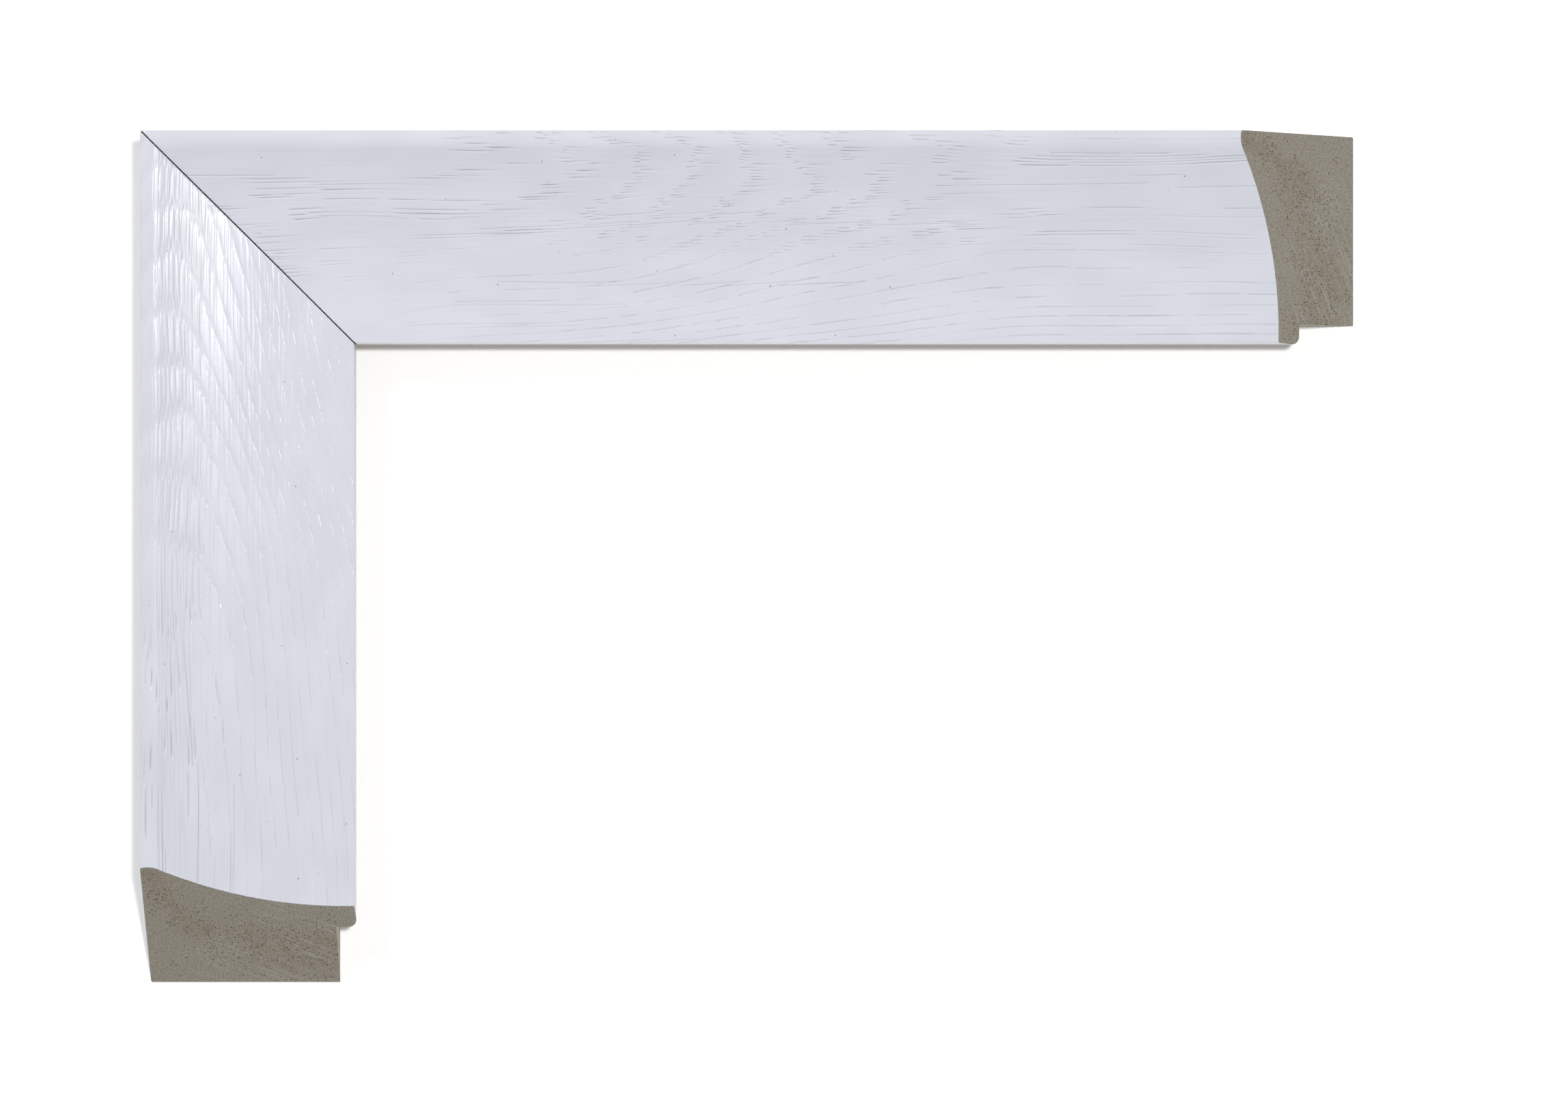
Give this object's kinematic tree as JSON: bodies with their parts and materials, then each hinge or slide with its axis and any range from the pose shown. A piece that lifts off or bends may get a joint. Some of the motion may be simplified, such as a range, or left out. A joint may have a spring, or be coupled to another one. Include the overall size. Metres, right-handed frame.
{
  "type": "picture frame moulding corner",
  "caption": "Mitred corner of coved picture frame moulding, white open-grain lacquer over wood, with a rabbet that holds glass and picture and bevel-sawn ends that show the section.",
  "frame": {"origin": "on the back plane, under the middle of the whole corner's bounding box", "axes": "+X along the long rail from the mitre to its sawn end, +Y from the short rail's sawn end to the mitre, +Z out of the face"},
  "size_m": [0.3634, 0.2556, 0.0365],
  "materials": {
    "lacquered_wood": "white semi-gloss lacquer over open grain, bare wood on the sawn ends, back and rabbet"
  },
  "bodies": {
    "root": {"long_rail": "lacquered_wood", "short_rail": "lacquered_wood"}
  },
  "joints": []
}
